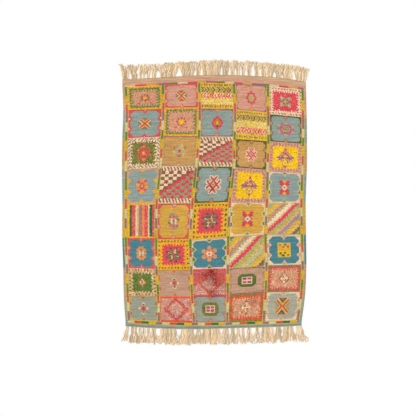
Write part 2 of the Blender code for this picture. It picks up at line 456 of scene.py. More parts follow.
def smooth(places, values, at):
    """A smooth curve through values, read at an array of places and level past its ends."""
    places = np.array(places, float)
    values = np.array(values, float)
    slopes = np.gradient(values, places)
    at = np.clip(at, places[0], places[-1])
    k = np.clip(np.searchsorted(places, at, side="right") - 1, 0, len(places) - 2)
    span = places[k + 1] - places[k]
    t = (at - places[k]) / span
    return (
        (1 + 2 * t) * (1 - t) ** 2 * values[k]
        + t * (1 - t) ** 2 * span * slopes[k]
        + t * t * (3 - 2 * t) * values[k + 1]
        - t * t * (1 - t) * span * slopes[k + 1]
    )


def side_lines(y):
    """The left edge, the six strips' middles and the right edge at an array of heights."""
    heights = [s.y for s in SECTIONS]
    rows = [(s.left, *s.strips, s.right) for s in SECTIONS]
    return [smooth(heights, column, y) for column in zip(*rows)]


def end_line(which, x, beyond=0.0):
    """The height of one of the end lines at an array of places across, or of a line beyond it."""
    return smooth([e.x for e in ENDS], [getattr(e, which) for e in ENDS], x) + beyond


def row_line(k, x):
    """The height at x of the line under row k, counted from the near end."""
    middle = sum(sum(pair) for pair in ROW_LINES[k]) / (2 * COLUMNS)
    strips = side_lines(np.array([middle]))[1:-1]
    places = []
    for c in range(COLUMNS):
        places += [strips[c][0] + STRIP / 2, strips[c + 1][0] - STRIP / 2]
    return np.interp(x, places, [y for pair in ROW_LINES[k] for y in pair])


def column_stops(y):
    """Where the spans of squares across the rug start and stop."""
    left, *strips, right = side_lines(y)
    inner = [strip + hand * STRIP / 2 for strip in strips for hand in (-1, 1)]
    return np.stack([left, *inner, right])


def row_stops(x):
    """Where the spans of squares along the rug start and stop."""
    rows = [row_line(k, x) for k in range(ROWS + 1)]
    ends = (rows[0] - DASHES, *rows, rows[-1] + DASHES)
    return np.stack([end_line("near", x), *ends, end_line("far", x)])


def spread(counts):
    """The span that each grid line is in, and how far along it."""
    span = np.repeat(np.arange(len(counts)), counts)
    part = np.concatenate([np.arange(count) / count for count in counts])
    return np.append(span, len(counts) - 1), np.append(part, 1.0)


def grid_points():
    """The corners of the chart's squares on the rug: two arrays, a row for each line across."""
    span_x, part_x = spread(SPANS_ACROSS)
    span_y, part_y = spread(SPANS_ALONG)
    part_y = part_y[:, None]
    i = np.arange(len(span_x))[None, :]
    j = np.arange(len(span_y))[:, None]
    middle = row_stops(np.array([0.0]))
    y = middle[span_y] * (1 - part_y) + middle[span_y + 1] * part_y
    y = np.repeat(y, len(span_x), axis=1)
    for _ in range(2):
        stops = column_stops(y)
        x = stops[span_x[None, :], j, i] * (1 - part_x) + stops[span_x[None, :] + 1, j, i] * part_x
        stops = row_stops(x)
        y = stops[span_y[:, None], j, i] * (1 - part_y) + stops[span_y[:, None] + 1, j, i] * part_y
    return x, y


def is_pile(column, row):
    """Knotted tiles alternate, starting with pile at the far left corner."""
    return (column + ROWS - 1 - row) % 2 == 0


# Charts of the tiles

def grown(mask):
    """The squares of a mask and those beside them."""
    wide = np.pad(mask, 1)
    beside = wide[:-2, 1:-1] | wide[2:, 1:-1] | wide[1:-1, :-2] | wide[1:-1, 2:]
    return wide[1:-1, 1:-1] | beside


def hill(offset, reach):
    """A slope that is 1 at no offset and 0 from its reach on."""
    return np.clip(1 - abs(offset) / reach, 0, 1)


class Chart:
    """A tile on squared paper. x runs right and y down, in squares from the tile's middle."""

    def __init__(self, down, across, ground, number):
        self.down = down
        self.across = across
        self.chance = np.random.default_rng(SEED + number)
        self.squares = np.full((down, across), WOOLS.index(ground))
        y, x = np.mgrid[:down, :across]
        self.x = x - (across - 1) / 2
        self.y = y - (down - 1) / 2
        sides = across / 2 - abs(self.x)
        ends = down / 2 - abs(self.y)
        self.deep = np.minimum(sides, ends)
        self.at_end = ends < sides
        self.run = np.where(self.at_end, self.x, self.y)
        self.share = self.run / np.where(self.at_end, across, down) + 0.5

    def paint(self, wool, where):
        """Fills squares with a wool."""
        self.squares[where] = WOOLS.index(wool)

    def mottle(self, old, **shares):
        """Turns shares of one wool's squares into others, wool after wool."""
        for new, share in shares.items():
            picked = self.chance.random(self.squares.shape) < share
            self.paint(new, picked & (self.squares == WOOLS.index(old)))

    def field(self, wool, **shares):
        """Fills the whole tile with a wool, mottled with others."""
        self.squares[:] = WOOLS.index(wool)
        self.mottle(wool, **shares)

    def nest(self, shape, *layers, at=(0, 0)):
        """Paints shapes over one another at one place, from their wools and half sizes."""
        for wool, *size in layers:
            self.paint(wool, shape(*at, *size))

    def wave(self, ends, sides):
        """0 in the middle of each of so many repeats along the sides, and 1 between them."""
        return abs(self.share * np.where(self.at_end, ends, sides) % 1 - 0.5) * 2

    def teeth(self, wool, start, deep, ends, sides):
        """Triangles that point inwards along all four sides."""
        reach = start + deep * (1 - self.wave(ends, sides))
        self.paint(wool, (self.deep > start) & (self.deep < reach))

    def spots(self, wool, start, stop, ends, sides, share=0.5):
        """Short blocks along all four sides."""
        inside = (self.deep > start) & (self.deep < stop)
        self.paint(wool, inside & (self.wave(ends, sides) < share))

    def slants(self, wools, start, stop, pitch):
        """Leaning dashes along all four sides, wool after wool."""
        step = np.floor((self.run + self.deep) / pitch) % len(wools)
        for k, wool in enumerate(wools):
            self.paint(wool, (step == k) & (self.deep > start) & (self.deep < stop))

    def ring(self, wool, start, stop):
        """A frame between two depths."""
        self.paint(wool, (self.deep > start) & (self.deep < stop))

    def diamond(self, x, y, wide, tall):
        """The squares of a diamond with these half sizes."""
        return abs(self.x - x) / wide + abs(self.y - y) / tall <= 1

    def disc(self, x, y, wide, tall=None):
        """The squares of an oval with these half sizes."""
        return ((self.x - x) / wide) ** 2 + ((self.y - y) / (tall or wide)) ** 2 <= 1

    def box(self, x, y, wide, tall):
        """The squares of a box with these half sizes."""
        return (abs(self.x - x) <= wide) & (abs(self.y - y) <= tall)

    def stroke(self, start, stop, width):
        """The squares along a straight line."""
        run = np.subtract(stop, start)
        t = ((self.x - start[0]) * run[0] + (self.y - start[1]) * run[1]) / (run @ run)
        t = np.clip(t, 0, 1)
        away = np.hypot(self.x - start[0] - t * run[0], self.y - start[1] - t * run[1])
        return away <= width / 2

    def jostled(self, share):
        """The chart with a share of its squares taken from beside them."""
        y, x = np.mgrid[:self.down, :self.across]
        moved = self.chance.random(self.squares.shape) < share
        y = np.clip(y + moved * self.chance.integers(-1, 2, y.shape), 0, self.down - 1)
        x = np.clip(x + moved * self.chance.integers(-1, 2, x.shape), 0, self.across - 1)
        return self.squares[y, x]


def four_ways(chart, wool, start, stop, width):
    """A stroke drawn in all four quarters."""
    for hand in (-1, 1):
        for way in (-1, 1):
            ends = [(hand * x, way * y) for x, y in (start, stop)]
            chart.paint(wool, chart.stroke(*ends, width))


def cartouche(chart, line, filling, side=2.6, end=1.6, bump=2.8, notch=4.2, corner=4.6, width=1):
    """A flat tile's frame: a notch at the middle of each end, two bumps a side, cut corners."""
    x, y = abs(chart.x), abs(chart.y)
    side_hill = hill(y - BUMP_AT, BUMP_REACH)
    end_hill = hill(x, NOTCH_REACH)
    room = chart.across / 2 + chart.down / 2 - side - end - corner
    field = x < chart.across / 2 - side - bump * side_hill
    field &= y < chart.down / 2 - end - notch * end_hill
    field &= x + y < room
    chart.paint(line, ~field)
    for _ in range(width):
        field = grown(field)
    fill = np.where(chart.at_end, end_hill, side_hill) > FILLED_FROM
    chart.paint(filling, ~field & fill & (chart.deep > 1))


def angled_cross(chart, reach, arms, ends, sides, spine=None):
    """A round medallion: an X whose four quarters hold angles set one in another."""
    x, y = abs(chart.x), abs(chart.y)
    inside = (np.maximum(x, y) <= reach) & (x + y <= 1.55 * reach)
    thick = 2.6 if spine else 1.6
    for lean, wools in ((y - x, ends), (x - y, sides)):
        for k, wool in enumerate(wools):
            chart.paint(wool, inside & (lean > 2 * k + thick - 0.6))
    chart.paint(arms, inside & (abs(x - y) <= thick))
    if spine:
        chart.paint(spine, inside & (y > x) & (y - x <= thick))


def beads(chart, wide, tall, wools, size, turn=0.0):
    """Round spots on an oval, clockwise from the top, in the order of their wools."""
    for k, wool in enumerate(wools):
        angle = 2 * math.pi * (k + turn) / len(wools)
        chart.paint(wool, chart.disc(wide * math.sin(angle), -tall * math.cos(angle), size))


def star_shape(chart, reach, narrow):
    """The squares of a stepped star with eight points."""
    x, y = abs(chart.x) * narrow, abs(chart.y)
    return (np.maximum(x, y) <= 0.68 * reach) | (x + y <= 1.02 * reach)


def rosette_tile(chart, heart):
    """Pile: green teeth round a salmon field with a small rosette."""
    chart.field("salmon", clay=0.2, pink=0.3)
    chart.ring("yellow", 0, 2)
    chart.slants(("purple", "yellow"), 2, 3, 2.0)
    chart.ring("green", 3, 4)
    chart.teeth("green", 3, 4.6, 13, 9)
    reach = 5.2 if heart == "brown" else 4.0
    beads(chart, reach, reach, ("crimson", "green") * 4, 1.4)
    chart.nest(chart.disc, ("orange", reach - 2), ("lemon", reach - 2.6))
    chart.paint(heart, chart.box(0, 0, 0.6, 0.6))
    for x in (-7, 7):
        chart.paint("red", chart.disc(x, 7.5, 1.2))


def chevron_tile(chart, bands):
    """Pile: rows of angles between rows of dots, on yellow."""
    chart.field("straw", lemon=0.35)
    run = (chart.y + chart.down / 2) * CHEVRON_LINES / chart.down
    for middle, half, way, ground, wools in bands:
        away = abs(run - middle)
        chart.paint(ground, away < half)
        chart.mottle(ground, straw=0.42)
        place = (chart.x + way * away) % CHEVRON_PITCH
        for k, wool in enumerate(wools):
            chart.paint(wool, (away < half) & (abs(place - CHEVRON_PITCH / 2 * k - 1) < 1.0))
    for place in (2.5, CHEVRON_LINES - 3.5):
        row = abs(run - place) < 1.1
        chart.mottle("straw", lime=0.3)
        chart.paint("green", row & ((chart.x + 3.5) % 7 < 1.8))
        chart.paint("red", row & (chart.x % 7 < 2))
    chart.ring("yellow", 0, 1)


def spiked_tile(chart):
    """Pile: a cream frame of leaning dashes, cream teeth, and a spiked star on red."""
    chart.field("scarlet", crimson=0.3, salmon=0.08)
    chart.ring("peach", 0, 4)
    chart.slants(("green", "peach", "mauve", "peach"), 1, 3, 2.0)
    chart.teeth("peach", 3.6, 3.2, 14, 12)
    four_ways(chart, "green", (1.5, 1), (5.5, 6), 1.4)
    four_ways(chart, "mint", (2.4, 3.4), (6, 5), 2.4)
    four_ways(chart, "mint", (5.4, 2), (6, 5), 1.6)
    beads(chart, 3.4, 3.4, ("mauve", "green") * 4, 1.2)
    chart.paint("lime", chart.diamond(0, 0, 2.4, 2.4))


def totem_tile(chart):
    """Pile: a cream frame of leaning dashes, cream teeth, and a red standing figure on olive."""
    chart.field("olive", moss=0.26, lime=0.1)
    chart.ring("peach", 0, 4)
    chart.slants(("green", "peach", "mauve", "peach"), 1, 4, 2.2)
    chart.teeth("peach", 3.6, 3.4, 12, 10)
    for y in (-8, 8):
        chart.nest(chart.diamond, ("red", 3.6, 4.4), ("gold", 1.4, 1.6), at=(0, y))
    chart.nest(chart.disc, ("red", 3.2, 4.4), ("yellow", 1.6, 2.4))
    for hand in (-1, 1):
        for y in (-2.8, 2.8):
            chart.paint("red", chart.disc(hand * 5, y, 3.1) & ~chart.disc(hand * 4.8, y, 1.6))


def check_tile(chart):
    """Pile: checks in two pairs of wools that meet along a stepped slant, hatched at the ends."""
    hatched = 6
    dash = 4.3
    columns, rows = 8, 9
    column = np.floor((chart.x + chart.across / 2) * columns / chart.across)
    row = np.floor((chart.y + chart.down / 2 - hatched) * rows / (chart.down - 2 * hatched))
    odd = (column + row) % 2 == 1
    far = column + row < columns - 1
    chart.paint("peach", odd & far)
    chart.paint("brown", ~odd & far)
    chart.paint("crimson", odd & ~far)
    chart.paint("sage", ~odd & ~far)
    end = chart.down / 2 - abs(chart.y) < hatched
    step = (chart.x - chart.y / 2) % dash
    chart.paint("peach", end)
    chart.paint("brown", end & (step < 2))
    chart.ring("cream", 0, 1)


def tent_tile(chart):
    """Pile: mauve teeth round a bright yellow field with a tent over a ring."""
    chart.field("lemon", yellow=0.24, straw=0.14)
    chart.ring("salmon", 0, 3)
    chart.spots("mauve", 1, 4, 11, 10, 0.5)
    chart.teeth("mauve", 3, 3.6, 11, 10)
    chart.paint("red", chart.disc(0, -10.6, 1.5))
    for hand in (-1, 1):
        chart.paint("purple", chart.stroke((0, -9.5), (hand * 9, -0.5), 2.0))
        chart.paint("peach", chart.stroke((0, -7.8), (hand * 7, -1), 1.2))
        chart.paint("rust", chart.stroke((0, -6.2), (hand * 5.4, -1), 2.2))
        chart.paint("purple", chart.stroke((hand * 7, 1), (hand * 9.5, 4), 1.4))
        chart.paint("peach", chart.disc(hand * 6.8, 3.4, 1.2))
    chart.paint("pink", chart.disc(0, -2.4, 1.6))
    chart.paint("purple", chart.box(0, 0.5, 11, 0.5))
    for hand in (-1, 1):
        chart.paint("mauve", chart.disc(hand * 5.6, 3.2, 1.6))
        chart.paint("purple", chart.stroke((hand * 2, 2), (hand * 5, 2), 1.2))
    chart.nest(chart.disc, ("purple", 4.6, 4.8), ("lemon", 3.4, 3.6), ("purple", 1.1), at=(0, 7.4))
    chart.paint("rust", chart.disc(0, 12.6, 1.5))


def upright_tile(chart):
    """Pile: upright stripes in a yellow frame."""
    stripes = (
        ("yellow", 3.6), ("bottle", 3), ("red", 5.2), ("cream", 3), ("gold", 2.6), ("purple", 3.4),
        ("orange", 3), ("red", 4.8), ("cream", 2.6), ("bottle", 4.2), ("red", 3.6),
    )
    edge = -chart.across / 2
    for wool, wide in stripes:
        chart.paint(wool, (chart.x > edge) & (chart.x < edge + wide + 1))
        edge += wide
    chart.mottle("gold", lime=0.4)
    chart.mottle("red", crimson=0.2, pink=0.16)
    chart.mottle("purple", mauve=0.5)
    chart.paint("yellow", chart.down / 2 - abs(chart.y) < 1.6)


def slanting_tile(chart, wools):
    """Pile: stepped stripes that climb to the right, parted by lighter steps."""
    step = 3.1
    column = np.floor((chart.x + chart.across / 2) / step)
    row = np.floor((chart.y + chart.down / 2) / step)
    stripe = (column + row) // 3
    for k, wool in enumerate(wools):
        chart.paint(wool, stripe == k)
    parting = (column + row) % 3 == 2
    chart.paint("khaki", parting)
    chart.paint("mint", parting & ((column - row) % 2 == 0))
    chart.mottle("mint", sage=0.3)
    chart.mottle("lime", clay=0.24)
    chart.ring("lime", 0, 1)


def pinwheel_tile(chart):
    """Pile: a yellow frame of green spots, yellow teeth, and a turning star on red."""
    reach = 9.5
    chart.field("scarlet", crimson=0.35, rust=0.1)
    chart.ring("yellow", 0, 6)
    chart.mottle("yellow", orange=0.12)
    chart.spots("bottle", 2, 4, 10, 7, 0.5)
    chart.teeth("yellow", 5.4, 3.6, 11, 9)
    for quarter in range(4):
        turn = quarter * math.pi / 2
        for angle, wool in ((0.42, "cream"), (-0.42, "purple")):
            tip = (reach * math.sin(turn + angle), -reach * math.cos(turn + angle))
            heart = (2 * math.sin(turn + angle), -2 * math.cos(turn + angle))
            chart.paint("bottle", chart.stroke(heart, tip, 3.4))
            chart.paint(wool, chart.stroke(heart, (tip[0] * 0.8, tip[1] * 0.8), 1.3))
    beads(chart, 3.4, 3.4, ("yellow", "red") * 2, 1.5, 0.5)
    chart.paint("purple", chart.disc(0, 0, 1.4))


def ringed_diamond_tile(chart):
    """Pile: a peach frame of green spots and teeth, and a ringed diamond on green."""
    chart.field("leaf", green=0.4)
    chart.ring("peach", 0, 5)
    chart.spots("green", 1, 4, 9, 8, 0.4)
    chart.teeth("peach", 4.6, 3.0, 9, 8)
    chart.mottle("peach", salmon=0.8)
    for wool, size in (("rust", 6.6), ("leaf", 5.6), ("orange", 4.8), ("cream", 3.7), ("blue", 2.4)):
        chart.paint(wool, chart.diamond(0, 0, size, size * 1.15))
    chart.paint("red", chart.disc(0, 0, 1.0))


def great_diamond_tile(chart, upper):
    """Pile: one large diamond on a mottled pink field inside a red line."""
    chart.field("rose", mauve=0.34, peach=0.1, pink=0.3)
    chart.mottle("mauve", red=0.16)
    if upper:
        top = chart.y < 2 + 3 * np.sin(chart.x / 5)
        chart.paint("red", top & (abs(chart.x) + abs(chart.y + 1) > 8))
        chart.mottle("red", rust=0.3, mauve=0.16, brown=0.2)
    outer = chart.diamond(0.5, 0, chart.across * 0.40, chart.down * 0.48)
    inner = chart.diamond(0.5, 0, chart.across * 0.28, chart.down * 0.33)
    chart.paint("rust", outer & ~inner)
    chart.mottle("rust", clay=0.2)
    chart.ring("red" if upper else "vermilion", 0, 2)


def quartered_tile(chart, teeth):
    """Pile: a green frame with red teeth, and a quartered diamond on salmon."""
    chart.field("salmon", peach=0.04, clay=0.35)
    chart.ring("green", 0, 3)
    chart.slants((teeth, "green"), 1.4, 4, 2.4)
    chart.teeth(teeth, 2.6, 4.6, 13, 10)
    whole = chart.diamond(0, 0, 7.4, 8.2)
    edge = chart.diamond(0, 0, 6.0, 6.6)
    core = chart.diamond(0, 0, 4.8, 5.4)
    for right in (0, 1):
        for low in (0, 1):
            quarter = ((chart.x > 0) == right) & ((chart.y > 0) == low)
            chart.paint(teeth if right != low else "bottle", whole & quarter)
            chart.paint("peach", edge & quarter)
            chart.paint("yellow" if right != low else "purple", core & quarter)
    chart.paint("peach", core & ((abs(chart.x) < 0.6) | (abs(chart.y) < 0.6)))


def crossed_tile(chart, filling, width, corner):
    """Flat: a round medallion of a red X."""
    cartouche(chart, "red", filling, side=3.0, width=width, corner=corner)
    chart.ring("red", 0, 1)
    angled_cross(chart, 7, "crimson", ("yellow", "green", "purple"), ("cream", "green", "mauve"))


def ring_tile(chart):
    """Flat: a red stepped ring with pale spots."""
    cartouche(chart, "purple", "yellow", side=1.6, end=1.4, bump=2.6, notch=3.4, corner=2.4)
    chart.paint("red", star_shape(chart, 9.0, 1.15))
    chart.paint("ochre", chart.disc(0, 0, 4.2, 4.8))
    beads(chart, 2.8, 3.2, ("mint",) * 4, 1.5)
    chart.paint("orange", chart.disc(0, 0, 1.4))


def star_tile(chart):
    """Flat: a red stepped star."""
    cartouche(chart, "purple", "orange", side=1.6, end=1.6, bump=3, corner=3)
    chart.paint("crimson", star_shape(chart, 10.2, 1.2))
    for wool, size in (("orange", 5.2), ("green", 4.2), ("yellow", 2.8)):
        chart.paint(wool, chart.diamond(0, 0, size, size * 1.2))
    chart.paint("bottle", chart.disc(0, 4.2, 1.8))


def purple_flower_tile(chart):
    """Flat: an eight-sided purple flower with bright petal tips."""
    cartouche(chart, "moss", "clay", corner=3.6)
    beads(chart, 9.8, 8.2, ("yellow", "red") * 6, 1.8)
    for wool, size in (("mauve", 9.6), ("purple", 7.8), ("salmon", 6.0), ("purple", 4.6)):
        chart.paint(wool, chart.disc(0, 0, size, size * 0.82) & chart.diamond(0, 0, 1.45 * size, 1.2 * size))
    chart.paint("lime", chart.diamond(0, 0, 3.6, 3.6))
    chart.paint("bottle", chart.disc(0, 0, 1.0))


def wreath_tile(chart):
    """Flat: a pale wreath with alternating beads."""
    cartouche(chart, "purple", "yellow", side=1.2, end=1.2, bump=2.6, notch=3.6, corner=2.4)
    beads(chart, 6.6, 6.2, ("mint", "sage") * 6, 2.0)
    beads(chart, 7.6, 7.2, ("lemon", "crimson", "apricot") * 3, 1.6, 0.5)
    chart.nest(chart.disc, ("mint", 4.8), ("apricot", 3.8), ("rust", 2.2))


def bead_tile(chart):
    """Flat: eight beads round a red heart."""
    cartouche(chart, "salmon", "yellow", side=2.2, bump=3.4)
    chart.paint("apricot", chart.disc(0, 0, 5.4, 7.4))
    beads(chart, 5.8, 8.0, ("yellow", "red", "apricot") * 4, 1.9, 0.4)
    chart.nest(chart.disc, ("red", 3.4, 4.2), ("salmon", 1.6, 2.2))


def hooked_tile(chart, line, size):
    """Flat: a red lattice cross with forked ends, edged in cream."""
    cartouche(chart, "moss", "clay", side=3.0, bump=3.2, notch=4.2, corner=3.6)
    for wool, thick in (("peach", 5.0), (line, 2.5)):
        four_ways(chart, wool, (7.6 * size, 4.2 * size), (-3.3 * size, -9.2 * size), thick * size)
    chart.paint("green", chart.disc(0, 0, 1.2))


def figure_tile(chart):
    """Flat: a tall red X with a white heart and yellow angles."""
    cartouche(chart, "peach", "green", side=2.0, bump=3.2, notch=4)
    four_ways(chart, "bottle", (2, 3), (5.5, 4.5), 2.0)
    four_ways(chart, "crimson", (0.5, 1), (4.9, 8.4), 4.4)
    for way in (-1, 1):
        chart.paint("yellow", chart.diamond(0, way * 8.2, 3.2, 2.8))
    chart.nest(chart.diamond, ("red", 6.5, 6.5), ("peach", 4.2, 4.4))
    chart.paint("green", chart.disc(0, 0, 1.3))


def oval_tile(chart):
    """Flat: an oval of mixed beads with a cream heart."""
    cartouche(chart, "red", "pink", side=3.2, bump=2.4, notch=5)
    ring = ("blue", "orange", "mauve", "green", "orange", "purple", "sage")
    chart.paint("clay", chart.disc(0, 0, 6.2, 9.2))
    beads(chart, 6.6, 9.6, ring * 2, 1.7)
    beads(chart, 3.8, 6.0, ("red", "green", "pink") * 2, 1.7)
    for hand in (-1, 1):
        chart.paint("peach", chart.disc(hand * 2.6, 0, 1.5, 3.6))
    chart.paint("green", chart.disc(0, 0, 1.4))


def bloom_tile(chart):
    """Flat: an orange flower with a cream heart."""
    cartouche(chart, "red", "salmon", side=3.0, bump=3.0, width=2)
    chart.paint("sage", chart.disc(0, 0, 5.2, 7.6))
    beads(chart, 5.6, 8.0, ("apricot", "orange") * 5, 2.0, 0.5)
    for hand in (-1, 1):
        chart.paint("red", chart.disc(0, hand * 5, 1.6))
        chart.paint("cream", chart.disc(hand * 2.2, 0, 1.4, 3.6))
    chart.paint("red", chart.box(0, 0, 0.5, 4))


def petal_tile(chart):
    """Flat: a flower of six orange petals."""
    cartouche(chart, "peach", "green", side=2.2, bump=3.8, notch=4.4, corner=4)
    for k in range(6):
        angle = math.pi * k / 3
        tip = (8.4 * math.sin(angle), -8.4 * math.cos(angle))
        chart.paint("apricot", chart.stroke((tip[0] * 0.4, tip[1] * 0.4), tip, 5.4))
        chart.paint("rust", chart.stroke((tip[0] * 0.4, tip[1] * 0.4), (tip[0] * 0.7, tip[1] * 0.7), 1.2))
    chart.nest(chart.disc, ("peach", 3.4), ("red", 1.7))


def panel_tile(chart):
    """Flat: a yellow panel of purple and green spots."""
    cartouche(chart, "peach", "salmon", side=2.6, bump=4.2, notch=5, corner=6)
    chart.paint("yellow", chart.box(0, 0, 8, 10))
    chart.mottle("yellow", lemon=0.3)
    for x, y in ((-4.8, -7), (1.6, -7.4), (-1, -3.8), (5, -4.4)):
        chart.paint("purple", chart.box(x, y, 1.6, 1.1))
        chart.paint("bottle", chart.box(-x, -y, 1.6, 1.1))
    chart.paint("orange", chart.box(0, 0, 6, 0.5) & (chart.x % 2 < 1))


def small_cross_tile(chart, line, filling):
    """Flat: a small red cross tipped in cream and green."""
    cartouche(chart, line, filling, side=1.4, end=1.4, bump=3.4, notch=3.6, corner=3)
    for y in (5.0, -5.0):
        chart.paint("cream", chart.diamond(0, y * 1.1, 3.6, 2.6))
        chart.paint("bottle", chart.disc(0, y, 1.3))
    for x in (-4.8, 4.8):
        chart.paint("peach", chart.diamond(x, 0, 2.6, 1.8))
    chart.paint("red", chart.diamond(0, 0, 4.0, 4.0))
    chart.paint("moss", chart.disc(0, 0, 1.1))


def rounded_ring_tile(chart, dark):
    """Flat: a dark green rounded ring round a cream panel of four blocks."""
    cartouche(chart, "purple", "orange", side=1.4, end=1.4, bump=3, notch=3.2, corner=2.6)
    x, y = abs(chart.x), abs(chart.y)
    chart.paint(dark, (x <= 11) & (y <= 8.5) & (x // 2 + y // 2 <= 7))
    chart.mottle(dark, moss=0.35)
    chart.paint("peach", (x <= 6.5) & (y <= 4.5))
    for right in (-1, 1):
        for low in (-1, 1):
            wool = "crimson" if right != low else "plum"
            chart.paint(wool, chart.box(3 * right, 2.3 * low, 2.4, 1.5))


def far_cross_tile(chart):
    """Flat: a medallion of a red and yellow X."""
    chart.field("ash")
    cartouche(chart, "peach", "salmon", side=2.4, end=2.2, bump=1.8, notch=3, corner=4)
    angled_cross(chart, 9.8, "vermilion", ("cream", "bottle", "vermilion"), ("cream", "sage", "apricot"),
                 "yellow")


# Bands of angles: middle and half height in lines, which way they point, ground and wools.
Band = namedtuple("Band", "middle half way ground wools")
FAR_BANDS = (
    Band(8.5, 3.4, 1, "straw", ("purple", "moss")), Band(16, 3.4, -1, "peach", ("crimson", "red")),
    Band(23.5, 3.8, 1, "lemon", ("peach", "cream")),
)
NEXT_BANDS = (
    Band(8, 3.2, 1, "straw", ("purple", "moss")), Band(15, 3.2, 1, "lemon", ("peach", "cream")),
    Band(23, 3.2, -1, "peach", ("crimson", "red")),
)
CLIMBING = "mint yellow clay peach crimson lime mauve yellow brown brown".split()
NEXT_CLIMBING = "brown yellow clay peach crimson lime khaki yellow brown peach".split()
TILES = (  # far row first, left tile first
    (partial(rosette_tile, heart="orange"), partial(crossed_tile, filling="pink", width=1, corner=2.8),
     partial(chevron_tile, bands=FAR_BANDS), ring_tile, spiked_tile),
    (partial(crossed_tile, filling="peach", width=3, corner=4.6), partial(rosette_tile, heart="brown"),
     star_tile, partial(chevron_tile, bands=NEXT_BANDS), purple_flower_tile),
    (totem_tile, wreath_tile, check_tile, partial(hooked_tile, line="red", size=0.84), tent_tile),
    (bead_tile, check_tile, partial(hooked_tile, line="rust", size=1.0), tent_tile, figure_tile),
    (upright_tile, oval_tile, pinwheel_tile, figure_tile, partial(slanting_tile, wools=CLIMBING)),
    (bloom_tile, pinwheel_tile, petal_tile, partial(slanting_tile, wools=NEXT_CLIMBING), panel_tile),
    (ringed_diamond_tile, partial(small_cross_tile, line="ochre", filling="red"),
     partial(great_diamond_tile, upper=True), partial(rounded_ring_tile, dark="leaf"),
     partial(quartered_tile, teeth="scarlet")),
    (partial(small_cross_tile, line="lime", filling="rust"), partial(great_diamond_tile, upper=False),
     partial(rounded_ring_tile, dark="olive"), partial(quartered_tile, teeth="vermilion"), far_cross_tile),
)


def dashed(order, squares, count):
    """The wools of a run of squares, in dashes that follow an order."""
    steps = (np.arange(squares) * count / squares).astype(int)
    return np.array([WOOLS.index(wool) for wool in order])[steps % len(order)]


def rug_design():
    """The wool of every square, near end first, with marks for strips and knotted squares."""
    across = np.concatenate([[0], np.cumsum(SPANS_ACROSS)])
    along = np.concatenate([[0], np.cumsum(SPANS_ALONG)])
    design = np.full((along[-1], across[-1]), WOOLS.index("pink"))
    knotted = np.zeros(design.shape, bool)
    raised = np.zeros(design.shape, bool)
    for row in range(ROWS):
        lines = slice(along[2 + row], along[3 + row])
        ground = GROUNDS[ROWS - 1 - row]
        design[lines] = WOOLS.index(ground)
        for column in range(COLUMNS):
            squares = slice(across[2 + 2 * column], across[3 + 2 * column])
            number = row * COLUMNS + column
            chart = Chart(TILE_ALONG[row], TILE_ACROSS[column], ground, number)
            TILES[ROWS - 1 - row][column](chart)
            knotted[lines, squares] = is_pile(column, row)
            design[lines, squares] = chart.jostled(JOSTLED * is_pile(column, row))[::-1]
    inside = slice(along[2], along[2 + ROWS])
    dashes = dashed(STRIP_ORDER, along[2 + ROWS] - along[2], len(STRIP_ORDER))[::-1]
    for k in range(COLUMNS + 1):
        start = across[1 + 2 * k]
        design[inside, start:start + STRIP_SQUARES] = dashes[:, None]
        for line in {max(start - 1, across[1] - 1), start + STRIP_SQUARES}:
            design[inside, line] = WOOLS.index("lime")
        raised[inside, start:start + STRIP_SQUARES] = True
    wide = slice(across[1], across[-2])
    width = across[-2] - across[1]
    design[:along[2]] = WOOLS.index("blue")
    design[[along[1] - NEAR_DROP - 1, along[2] - 1], wide] = WOOLS.index("lime")
    for lines, order, dash in (
        (slice(along[1] - NEAR_DROP, along[2] - 1), NEAR_ORDER, NEAR_DASH),
        (slice(along[-3], along[-2]), FAR_ORDER, FAR_DASH),
    ):
        design[lines, wide] = dashed(order, width, width / dash)
        raised[lines, wide] = True
    return design, knotted, raised


def cell_middles(values):
    """The middle value of each square, from its four corners."""
    return (values[:-1, :-1] + values[1:, :-1] + values[:-1, 1:] + values[1:, 1:]) / 4


def wandering(x, y, reach, stretch=1.0):
    """Smooth noise over arrays of places, stretched along X."""
    spots = zip((x / reach / stretch).ravel(), (y / reach).ravel())
    return np.array([noise.noise(Vector((a, b, 0))) for a, b in spots]).reshape(x.shape)


def square_colours(design, knotted, x, y):
    """The colour of each square: its wool, its dye lot, handling and stains."""
    chance = np.random.default_rng(SEED)
    dyes = np.array([linear(DYES[wool]) for wool in WOOLS])
    lot = 1 + STREAKED * wandering(x, y, STREAK_REACH, STREAK_STRETCH)
    lot = lot + CLOUDED * wandering(x, y, CLOUD_REACH)
    lot += np.where(knotted, KNOTS_VARY, WEAVE_VARIES) * (chance.random(design.shape) - 0.5)
    tints = dyes[design] * lot[..., None]
    blots = chance.uniform(*BLOTCHED, design.shape)
    for stain in STAINS:
        soaked = stain.dark * np.exp(-((x - stain.x) ** 2 + (y - stain.y) ** 2) / stain.reach ** 2)
        tints *= 1 - np.minimum(DARKEST, soaked * blots)[..., None] * STAIN_COLOUR
    return tints


# Finishes

def weave_finish():
    """Flat-woven wool: ribs of weft across the rug, in the colours of the chart."""
    finish = Finish("flat_weave")
    ribs = finish.ribs((40, 1000, 1), 1.4)
    fuzz = finish.grain((700, 1200, 700))
    streaks = finish.grain((10, 130, 1), 3.0)
    specks = finish.grain((90, 150, 1))
    finish.raised(ribs + fuzz * 0.35, 0.0007)
    light = 0.97 + ribs * 0.08 + fuzz * 0.07 + streaks * 0.5 + specks * 0.34
    return finish.coloured(finish.shaded(finish.dyed("wool"), light))


def pile_finish():
    """Knotted wool pile, matt and uneven."""
    finish = Finish("knotted_pile", roughness=0.96)
    fuzz = finish.grain((900, 900, 900), 3.0)
    clumps = finish.grain((60, 110, 1))
    finish.raised(fuzz, 0.0006)
    # The 1.2 makes the pile lighter than the flat weave in the same wools: painted light against the shade
    # that falls between the knots.
    light = 1.2 + fuzz * 0.14 + clumps * 0.4
    return finish.coloured(finish.shaded(finish.dyed("wool"), light))


